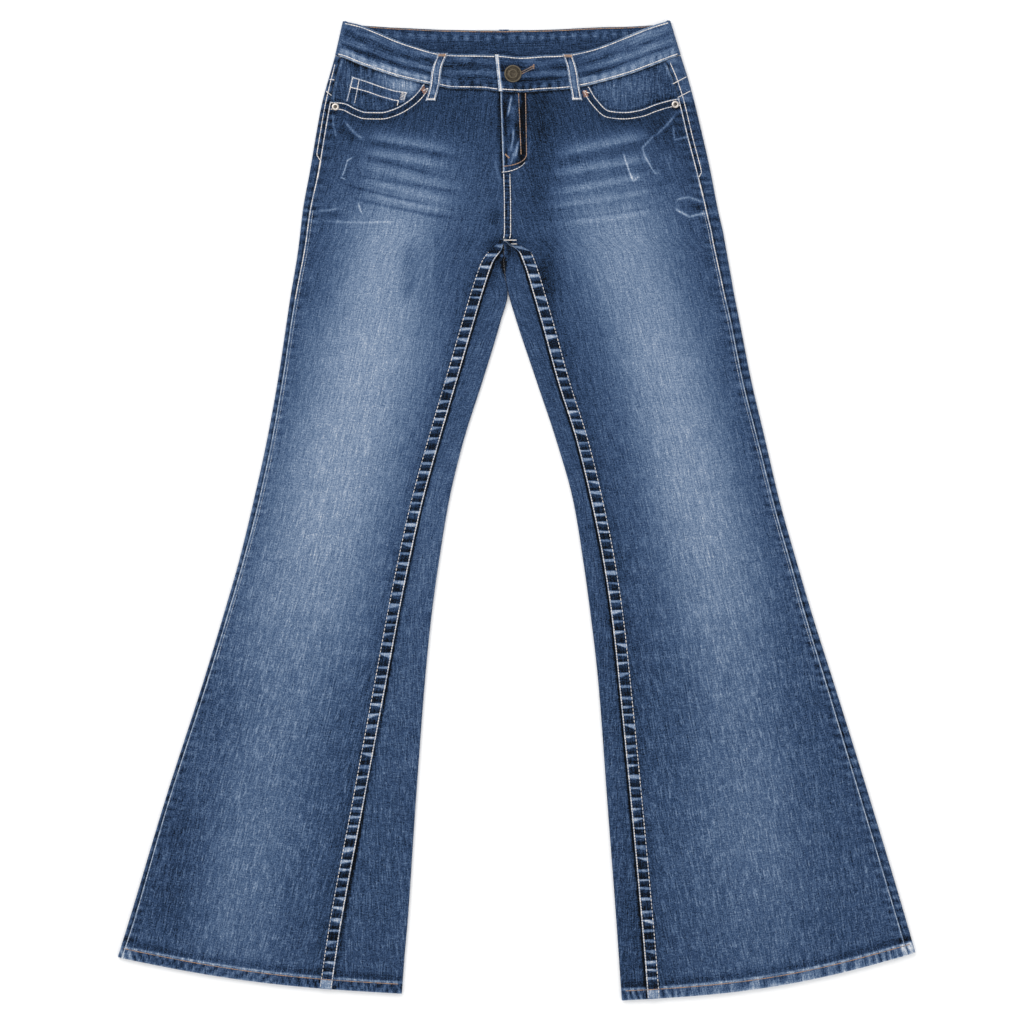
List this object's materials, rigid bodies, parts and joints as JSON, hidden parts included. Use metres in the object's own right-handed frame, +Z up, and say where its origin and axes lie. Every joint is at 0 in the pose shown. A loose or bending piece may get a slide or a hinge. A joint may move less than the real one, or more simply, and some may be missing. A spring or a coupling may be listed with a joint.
{
  "type": "bootcut jeans, laid flat",
  "caption": "Faded blue denim bootcut jeans laid flat on their back, low waist, buttoned and zipped, with flared hems and puckered felled inseams.",
  "frame": {"origin": "middle of the bounding box, on the surface that the jeans lie on", "axes": "+X towards the wearer's left leg, +Y from the hems towards the waist, +Z up out of the front of the jeans"},
  "size_m": [0.877, 1.0768, 0.0125],
  "materials": {
    "denim": "mid indigo twill, washed, with faded thighs and whiskers",
    "band_denim": "indigo twill with pale worn edges",
    "seam_denim": "dark unfaded indigo twill with pale puckers and twin topstitching",
    "zip": "brushed chain on a navy tape",
    "button_brass": "antique, darkened, with rubbed rims",
    "rivet_nickel": "pale nickel ring with a dark centre"
  },
  "bodies": {
    "root": {"front_panel_right": "denim", "front_panel_left": "denim", "back_panel_right": "denim", "back_panel_left": "denim", "back_yoke_right": "denim", "back_yoke_left": "denim", "waistband": "band_denim", "pocket_facing_right": "denim", "pocket_facing_left": "denim", "coin_pocket": "denim", "front_rise_seam": "seam_denim", "inseam_right": "seam_denim", "inseam_left": "seam_denim", "belt_loop_front_right": "band_denim", "belt_loop_front_left": "band_denim", "belt_loop_back_right": "band_denim", "belt_loop_back_left": "band_denim", "belt_loop_centre_back": "band_denim", "back_pocket_right": "denim", "back_pocket_left": "denim", "fly_zip": "zip", "button": "button_brass", "rivet_right": "rivet_nickel", "rivet_left": "rivet_nickel"}
  },
  "joints": []
}
